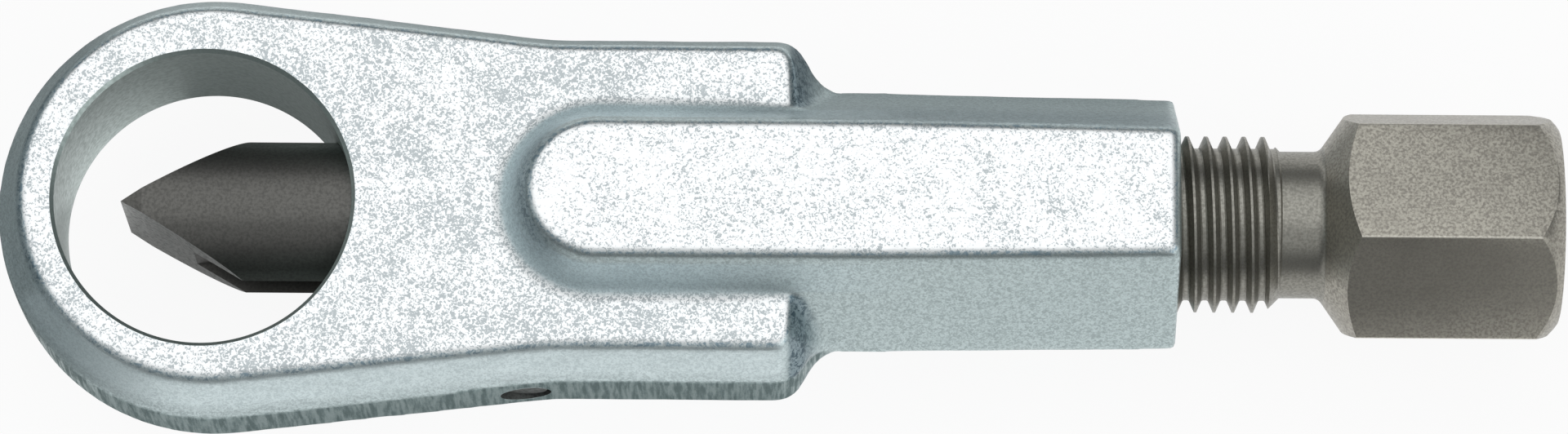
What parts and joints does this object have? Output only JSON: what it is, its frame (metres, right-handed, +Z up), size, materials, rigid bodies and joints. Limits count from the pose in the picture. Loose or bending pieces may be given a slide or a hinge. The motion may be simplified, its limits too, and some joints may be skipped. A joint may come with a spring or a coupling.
{
  "type": "nut splitter",
  "caption": "Forged ring-headed nut splitter: a hex-headed pressure screw drives a keyed wedge chisel across the ring to crack a seized nut.",
  "frame": {"origin": "under the middle of the whole tool at rest, on the plane of the boss face that it lies on", "axes": "+X along the tool's axis from the ring to the hex head, +Z up along the axis of the ring's bore, +Y to the side away from the guide pin"},
  "size_m": [0.1234, 0.034, 0.0232],
  "materials": {
    "zinc_plated_forging": "bright zinc over a blasted forging skin",
    "pin_steel": "ground",
    "black_tool_steel": "black oxide, ground flanks",
    "phosphated_steel": "grey-brown phosphate",
    "ball_steel": "polished"
  },
  "bodies": {
    "frame": {"body": "zinc_plated_forging", "guide_pin": "pin_steel"},
    "chisel": {"chisel": "black_tool_steel"},
    "screw": {"pressure_screw": "phosphated_steel", "thrust_ball": "ball_steel"}
  },
  "joints": [
    {"name": "chisel_feed", "type": "slide", "parent": "frame", "child": "chisel", "axis": [-1, 0, 0], "range_m": [-0.0186, 0.0047]},
    {"name": "screw_turn", "type": "hinge", "parent": "chisel", "child": "screw", "pos_m": [0, 0, 0.0116], "axis": [-1, 0, 0], "range_deg": [-4465, 1129]}
  ],
  "couplings": [
    {"joint": "screw_turn", "follows": "chisel_feed", "rad_per_m": 4188.8}
  ]
}
